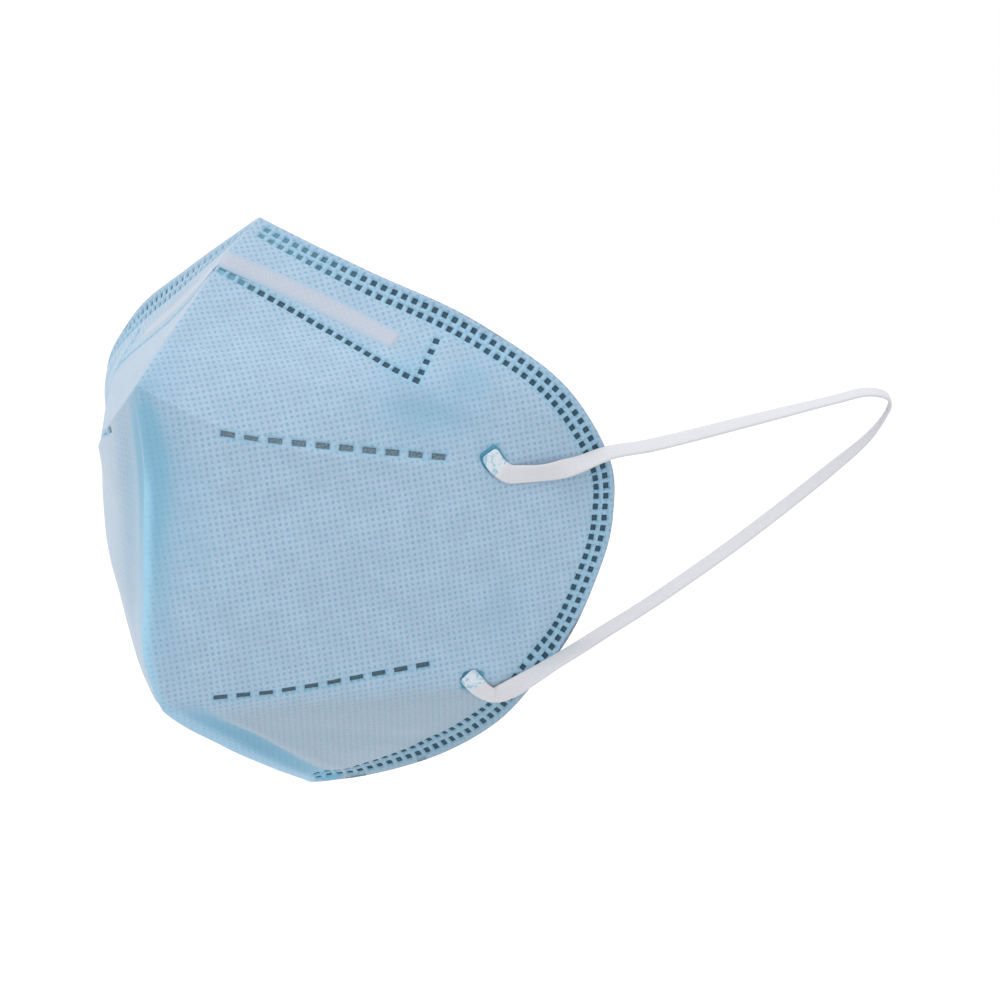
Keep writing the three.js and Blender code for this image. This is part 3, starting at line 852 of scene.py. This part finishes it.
# ------------ mask body
# Painted shade of a half, as deeper blue spots in the trough behind the fold and in hollows: x, z, length,
# width, tilt, share.
SHADE_SPOTS = (
    (1.2, 14.0, 12.0, 2.7, 90.0, 1.25),
    (1.6, -3.0, 18.0, 3.0, 91.0, 0.8),
    (7.0, 2.0, 22.0, 5.0, 98.0, 0.30),
    (3.0, -24.0, 12.0, 2.5, 92.0, 0.25),
    (43.0, 20.5, 7.0, 5.0, 160.0, 0.65),
    (48.5, 27.5, 4.5, 3.0, 120.0, 0.55),
    (37.5, 30.0, 4.0, 3.0, 60.0, 0.35),
    (50.0, -22.0, 8.0, 3.0, 70.0, 0.2),
)
# Half the width of the pinch at the chin, where shade is painted in deeper blue.
PINCH = 6.8
# Painted sheen on the right half, which is seen from its edge, paler and greyer: full up to the first
# distance from the middle, gone past the second.
SHEEN_NEAR = 20.0
SHEEN_FAR = 46.0
# Slots of the body's materials, in the order in which they are given to it.
CLOTH, INSIDE, WELD, PATCH_GROUND, WELD_BACK, DASH = range(6)
OUTSIDE_SLOTS = {"cloth": CLOTH, "rim": WELD, "seam": WELD, "dash": DASH, "patch": PATCH_GROUND}
# How far the back of a mark is pushed inward at most.
BACK_LIFT = 0.22


def fade(values, start, end):
    """0 up to `start`, 1 from `end` on and even between; `end` may be the lower one."""
    return np.clip((values - start) / (end - start), 0, 1)


def hollow_shade(x, z):
    """Painted shade in deeper blue: in the trough behind the front fold, in hollows and at the chin."""
    chin_shade = fade(z, -39, -44) * (0.4 + 0.6 * fade(x, 1.8, 3.0) * fade(x, PINCH, 6.0)) * (x < PINCH)
    return np.clip(bump_sum(SHADE_SPOTS, x, z) + chin_shade, 0, 1)


def fold_highlight(x, z):
    """Painted highlight: a bright cyan line along the front fold, widening to a strip below the jaw."""
    upper = fade(z, 14, 4) * fade(z, -44, -36) * fade(x, 1.65, 0.55)
    chin = fade(z, -38, -43) * fade(x, 3.0, 1.8)
    return np.clip(0.95 * upper + 0.55 * chin, 0, 1)


def underside_shade_tint(x, t):
    """Painted shade: the panel under the jaw crease, which faces down, is greyer than the rest."""
    return fade(t, KEYS[JAW_RIB], KEYS[JAW_RIB] + 0.03) * fade(x, 3, 5)


def pale_share(m):
    """Marks of the nose seam and the upper rim fade towards the fold, and the upper dashes are worn."""
    x, _, z = m["centre"]
    if m["kind"] == "seam":
        return 0.8 * max(1 - x / 9.0, 0)
    if m["kind"] == "rim" and z > 30:
        return 0.45 * max(1 - x / 26.0, 0)
    return 0.75 if m["kind"] == "dash" and z > 0 else 0.0


def pressed_half(q, t, base, lift, sunk):
    """Outside and inside points of the left half, with its folds and weld marks."""
    at_fold = q < TINY
    push = cup_normal(q, t)
    push[at_fold, 0] = 0.0
    push = unit(push)
    full_wall = np.clip(wall_at(q, t) - RIM_WALL, 0, 0.3) / 0.3
    inside_lift = -0.9 * bump_sum(FOLDS, base[:, 0], base[:, 2]) * full_wall
    outer = base + push * (lift * (0.3 + 0.7 * full_wall) - sunk)[:, None]
    inner = inner_point(q, t) + push * (inside_lift + np.minimum(sunk, BACK_LIFT))[:, None]
    outer[at_fold, 0] = 0.0
    inner[at_fold, 0] = 0.0
    return outer, inner


def build_body(materials):
    """The cup as one closed mesh, and the area of its outside in square metres."""
    marks = all_marks()
    q, t, faces, floor_mark = half_mesh(marks)
    base = cup_point(q, t)
    lift, halo = relief(base, marks)
    sunk = np.zeros(len(base))
    pale = np.zeros(len(base))
    for face, number in zip(faces, floor_mark):
        if number >= 0:
            sunk[face] = marks[number]["depth"]
            pale[face] = pale_share(marks[number])
    outer, inner = pressed_half(q, t, base, lift, sunk)

    # Outward normals point to -Y on average.
    a, b, c = (outer[faces[:, k]] for k in range(3))
    normals = np.cross(b - a, c - a)
    area = np.linalg.norm(normals, axis=1).sum() * MM * MM
    if normals[:, 1].sum() > 0:
        faces = faces[:, ::-1]

    # The right half shares the points at the fold. The inside has the same points, one layer on.
    at_fold = q < TINY
    free = np.where(~at_fold)[0]
    mirror = np.arange(len(base))
    mirror[free] = len(base) + np.arange(len(free))
    layer = len(base) + len(free)
    points = np.concatenate([outer, outer[free] * MIRROR, inner, inner[free] * MIRROR])
    all_faces = []
    slots = []
    for face, number in zip(faces, floor_mark):
        back = face[::-1]
        all_faces += [face, mirror[back], layer + back, layer + mirror[face]]
        slots += [OUTSIDE_SLOTS[marks[number]["kind"] if number >= 0 else "cloth"]] * 2
        slots += [WELD_BACK if number >= 0 else INSIDE] * 2
    for a, b in open_edges(faces):
        if not (at_fold[a] and at_fold[b]):
            all_faces.append((b, a, layer + a, layer + b))
            all_faces.append((mirror[a], mirror[b], layer + mirror[b], layer + mirror[a]))
            slots += [CLOTH, CLOTH]
    obj = new_object("mask_cloth", points, all_faces, materials)
    obj.data.polygons.foreach_set("material_index", slots)

    def layers(left, right, left_inside, right_inside):
        return np.concatenate([left, right[free], left_inside, right_inside[free]])

    still = np.zeros(len(base))
    x, _, z = base.T
    weave = lattice_coordinates(base)
    add_attribute(obj, "weave", layers(weave, weave, weave, weave))
    for name, values in {"halo": halo, "pale": pale}.items():
        add_attribute(obj, name, layers(values, values, values, values))
    # Painted shade in hollows, a painted highlight on the fold and painted shade under the jaw, on the
    # outside only.
    for name, values in {"mottle_and_shade": hollow_shade(x, z), "edge": fold_highlight(x, z), "underside_shade": underside_shade_tint(x, t)}.items():
        add_attribute(obj, name, layers(values, values, still, still))
    # Painted sheen on the outside of the right half only.
    add_attribute(obj, "far_half_sheen", layers(still, fade(x, SHEEN_FAR, SHEEN_NEAR), still, still))
    return obj, area


# ------------ nose strip
# The strip's middle line on the front view, from the fold to its end, and its section.
STRIP_FOLD_Z = 52.7
STRIP_END_X = 34.0
STRIP_END_Z = 35.3
STRIP_WIDTH = 5.3
STRIP_HEIGHT = 0.16
STRIP_CLEAR = 0.02
STRIP_CORNER = 0.9
STRIP_STEPS = 70
# Share of the half width and of the height. The edges and the back sink into the cloth.
STRIP_TOP = ((-1.0, -1.0), (-0.9, 0.0), (-0.78, 0.5), (-0.6, 0.85), (-0.35, 1.0), (0.35, 1.0),
             (0.6, 0.85), (0.78, 0.5), (0.9, 0.0), (1.0, -1.0))
STRIP_BACK = tuple((across, -1.2) for across, _ in STRIP_TOP[-2:0:-1])


def strip_line(x):
    return face_at(x, STRIP_FOLD_Z + (STRIP_END_Z - STRIP_FOLD_Z) * x / STRIP_END_X)


def strip_section(x):
    """Points of the strip's section at x, narrower and lower at its rounded end."""
    near = max(x, 0.8)
    _, normal = strip_line(near)
    sideways = unit(np.cross(normal, strip_line(near + 0.1)[0] - strip_line(near - 0.1)[0]))[0]
    start = strip_line(x)[0][0]
    left = min((STRIP_END_X - x) / STRIP_CORNER, 1)
    round_end = math.sqrt(max(1 - (1 - left) ** 2, 0.0))
    half_width = STRIP_WIDTH / 2 * (0.72 + 0.28 * round_end)
    section = []
    for across, rise in STRIP_TOP + STRIP_BACK:
        foot = start + sideways * across * half_width
        (face,), (push,) = face_at(max(foot[0], 0.0), foot[2])
        if x == 0.0:
            push = push * MIDDLE
            push = push / (push @ push)
            face[0] = 0.0
        if rise >= 0:
            rise = rise * round_end - 0.8 * (1 - round_end)
        section.append(face + push * (STRIP_CLEAR + STRIP_HEIGHT * rise))
    return section


def build_strip(material):
    stations = np.concatenate([[0.0], STRIP_END_X * np.linspace(0.02, 1.0, STRIP_STEPS)])
    half = np.array([strip_section(x) for x in stations])
    # Sections from the right end over the fold to the left end.
    sections = np.concatenate([half[:0:-1] * MIRROR, half])
    faces = tube_faces(len(sections), half.shape[1])
    obj = new_object("nose_strip_band", sections.reshape(-1, 3), faces, [material])
    fix_normals(obj)
    across = np.array([across for across, _ in STRIP_TOP + STRIP_BACK])
    weave = lattice_coordinates(half.reshape(-1, 3)).reshape(half.shape)
    add_attribute(obj, "weave", np.concatenate([weave[:0:-1], weave]))
    add_attribute(obj, "halo", np.tile(fade(np.abs(across), 0.45, 0.95), len(sections)))
    return obj


# ------------ ear loops
BAND_WIDTH = 4.0
BAND_THICKNESS = 0.8
BAND_CLEAR = 0.12
# Steps of the curve between two rows, and points round the section.
BAND_STEPS = 14
BAND_SECTION = 14
# The welded ends: their length, the run to full thickness, their rounding and how they are pressed.
PATCH_LENGTH = 4.2
PRESS_RUN = 1.2
END_ROUND = 1.2
PRESSED_THICKNESS = 0.45
PRESSED_WIDTH = 1.03
PRESSED_DROP = 0.32
# Twist is evened out over this length.
TWIST_REACH = 5.0
# Laid rows lie on the cup: x, z, roll. Free rows hang in the plane of the loop: x, y, z, roll.
UPPER_LAID = ((51.7, 12.2, 0), (52.7, 9.6, 0), (53.9, 7.8, 0), (55.7, 7.7, 10), (58.5, 8.1, 36),
              (61.7, 9.4, 50))
LOOP_FREE = (
    (71.9, 21.4, 12.9, 24), (83.6, 42.5, 17.6, 17), (93.3, 59.8, 21.5, 5), (97.7, 67.9, 23.1, 8),
    (99.8, 72.4, 22.1, 40), (100.0, 73.4, 20.6, 50), (99.4, 73.1, 18.6, 38), (96.8, 70.0, 13.5, 6),
    (91.7, 62.7, 6.6, -9), (79.6, 45.0, -8.3, -13), (68.0, 27.5, -21.2, -14),
)
LOWER_LAID = ((55.2, -33.4, 60), (52.0, -35.6, 52), (48.6, -37.8, 34), (45.9, -39.3, 10),
              (44.8, -38.4, 0), (44.5, -36.9, 0), (43.9, -35.0, 0))
# Rows where each loop crosses the rim, and the share of their roll that the laid rows keep.
CROSSINGS = {
    "left": (((67.7, 12.4, 11.7, 26),), ((62.3, 18.7, -26.9, -15), (59.3, 12.4, -30.4, -20)), 1.0),
    "right": (((64.8, 10.6, 0), (67.6, 14.6, 11.6, 72)), ((59.7, 13.9, -29.8, -60),), 0.0),
}
LOOP_PLANE = unit(np.array([0.876, -0.447, -0.18]))


def band_rows(side):
    """Centre, cloth normal (None where the band hangs free) and roll of each row."""
    upper, lower, roll_share = CROSSINGS[side]
    rows = []
    for row in (*UPPER_LAID, *upper, *LOOP_FREE, *lower, *LOWER_LAID):
        if len(row) == 3:
            x, z, roll = row
            roll = math.radians(roll * roll_share)
            foot, normal = face_at(x, z)
            lift = BAND_CLEAR + (BAND_WIDTH * math.sin(roll) + BAND_THICKNESS * math.cos(roll)) / 2
            rows.append((foot[0] + normal[0] * lift, normal[0], roll))
        else:
            rows.append((np.array(row[:3], dtype=float), None, math.radians(row[3])))
    return rows


def turned(vector, axis, angle):
    return (vector * math.cos(angle) + np.cross(axis, vector) * math.sin(angle)
            + axis * (axis @ vector) * (1 - math.cos(angle)))


def centripetal(points, share):
    """Point on a centripetal Catmull-Rom curve; share runs over the gaps between the points."""
    last = len(points) - 1
    i = min(int(share), last - 1)
    p1 = points[i]
    p2 = points[i + 1]
    p0 = points[i - 1] if i > 0 else 2 * p1 - p2
    p3 = points[i + 2] if i + 2 <= last else 2 * p2 - p1
    t0 = 0.0
    t1 = t0 + math.sqrt(np.linalg.norm(p1 - p0))
    t2 = t1 + math.sqrt(np.linalg.norm(p2 - p1))
    t3 = t2 + math.sqrt(np.linalg.norm(p3 - p2))
    t = t1 + (t2 - t1) * (share - i)

    def between(a, b, start, end):
        return (a * (end - t) + b * (t - start)) / (end - start)

    a1 = between(p0, p1, t0, t1)
    a2 = between(p1, p2, t1, t2)
    a3 = between(p2, p3, t2, t3)
    return between(between(a1, a2, t0, t2), between(a2, a3, t1, t3), t1, t2)


def band_ring(half_width, half_thick):
    """Points of a flat section with round edges."""
    ring = []
    for k in range(BAND_SECTION):
        angle = 2 * math.pi * k / BAND_SECTION
        c = math.cos(angle)
        s = math.sin(angle)
        ring.append((half_width * math.copysign(abs(c) ** 0.45, c),
                     half_thick * math.copysign(abs(s) ** 0.75, s)))
    return ring


def band_widths(rows, tangents):
    """Direction across the band at each row."""
    widths = []
    for (_, normal, roll), tangent in zip(rows, tangents):
        if normal is None:
            level = unit(LOOP_PLANE - tangent * (LOOP_PLANE @ tangent))
            width = turned(level, tangent, roll)
        else:
            on_cloth = unit(np.cross(tangent, normal))
            if on_cloth[0] < 0:
                on_cloth = -on_cloth
            width = unit(on_cloth * math.cos(roll) + normal * math.sin(roll))
        if widths and width @ widths[-1] < 0:
            width = -width
        widths.append(width)
    return np.array(widths)


def build_band(side, materials):
    """The band, its middle line and that line's length, in metres."""
    rows = band_rows(side)
    points = [row[0] for row in rows]
    gaps = len(points) - 1
    shares = np.linspace(0, gaps, gaps * BAND_STEPS + 1)
    curve = np.array([centripetal(points, share) for share in shares])
    tangents = unit(np.gradient(curve, axis=0))
    widths = band_widths(rows, tangents[::BAND_STEPS])
    before = np.minimum(shares.astype(int), gaps - 1)
    blend = (shares - before)[:, None]
    dense = widths[before] * (1 - blend) + widths[before + 1] * blend
    lengths = run_lengths(curve)
    total = lengths[-1]
    ring_points = []
    weave = []
    path = []
    for centre, tangent, length in zip(curve, tangents, lengths):
        from_end = min(length, total - length)
        reach = min(max(from_end / 3, 0.3), TWIST_REACH)
        weights = np.exp(-((lengths - length) / reach) ** 2)
        weights[1:-1] *= (lengths[2:] - lengths[:-2]) / 2
        width = weights @ dense
        width = unit(width - tangent * (width @ tangent))
        thick = np.cross(tangent, width)
        pressed = 1 - fade(from_end, PATCH_LENGTH - PRESS_RUN / 2, PATCH_LENGTH + PRESS_RUN / 2)
        half_thick = BAND_THICKNESS / 2 * (1 - (1 - PRESSED_THICKNESS) * pressed)
        half_width = BAND_WIDTH / 2 * (1 + (PRESSED_WIDTH - 1) * pressed)
        if from_end < END_ROUND:
            half_width *= 0.62 + 0.38 * math.sqrt(1 - (1 - from_end / END_ROUND) ** 2)
        normal = rows[0][1] if length < total / 2 else rows[-1][1]
        centre = centre - normal * PRESSED_DROP * pressed
        path.append(centre)
        for u, v in band_ring(half_width, half_thick):
            ring_points.append(centre + width * u + thick * v)
            weave.append((u, length, v))
    middles = (lengths[1:] + lengths[:-1]) / 2
    welded = np.minimum(middles, total - middles) < PATCH_LENGTH
    slots = np.append(np.repeat(welded, BAND_SECTION), [True, True]).astype(np.int32)
    faces = tube_faces(len(shares), BAND_SECTION)
    side_turn = MIRROR if side == "right" else 1.0
    path = np.array(path) * side_turn * MM
    obj = new_object(f"ear_loop_{side}_elastic", np.array(ring_points) * side_turn, faces, materials)
    obj.data.polygons.foreach_set("material_index", slots)
    fix_normals(obj)
    add_attribute(obj, "weave", weave)
    return obj, path, run_lengths(path)[-1]


# ------------ studio
FLOOR_LEVEL = -160.0
FLOOR_REACH = 12000.0
# One large soft lamp far away: the direction to it, its strength and its angle in degrees.
SUN_TOWARD = (-0.15, -0.75, 1.8)
SUN_STRENGTH = 1.4
SUN_SPREAD = 50.0


def build_studio():
    corners = ((-1, -1), (1, -1), (1, 1), (-1, 1))
    points = [(FLOOR_REACH * x, FLOOR_REACH * y, FLOOR_LEVEL) for x, y in corners]
    floor = new_object("studio_floor_plane", points, [(0, 1, 2, 3)], [floor_material()], smooth=False)
    world = bpy.data.worlds.new("studio_world")
    bpy.context.scene.world = world
    world.use_nodes = True
    background = world.node_tree.nodes["Background"]
    background.inputs["Color"].default_value = (1.0, 1.0, 1.0, 1.0)
    background.inputs["Strength"].default_value = 1.0
    sun = bpy.data.lights.new("soft_sun", "SUN")
    sun.energy = SUN_STRENGTH
    sun.angle = math.radians(SUN_SPREAD)
    light = bpy.data.objects.new("soft_sun", sun)
    light.rotation_euler = Vector(SUN_TOWARD).to_track_quat("Z", "Y").to_euler()
    bpy.context.scene.collection.objects.link(light)
    bpy.context.scene.view_settings.view_transform = "Standard"
    bpy.context.scene.view_settings.look = "None"


# ------------ assembly
make_camera()
build_studio()

body, body_area = build_body([
    cloth_material("cloth_outer", CLOTH_LIGHT, CLOTH_DOT, CLOTH_MOTTLE_AND_SHADE, 0.86),
    cloth_material("cloth_inner", INSIDE_LIGHT, INSIDE_DOT, INSIDE_DEEP, 0.5),
    weld_material("weld_outer", WELD_DARK, WELD_FADED),
    weld_material("patch_ground", PATCH_EDGE, PATCH_EDGE_FADED),
    weld_material("weld_inner", BACK_DARK, BACK_FADED),
    dash_material(),
])
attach(body, "root")
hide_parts("mask_body")

strip = build_strip(strip_material())
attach(strip, "root")
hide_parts("nose_strip")

band_materials = [elastic_material(), patch_material()]
for side in ("left", "right"):
    band, path, real = build_band(side, band_materials)
    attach(band, "root")
    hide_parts(f"ear_loop_{side}")
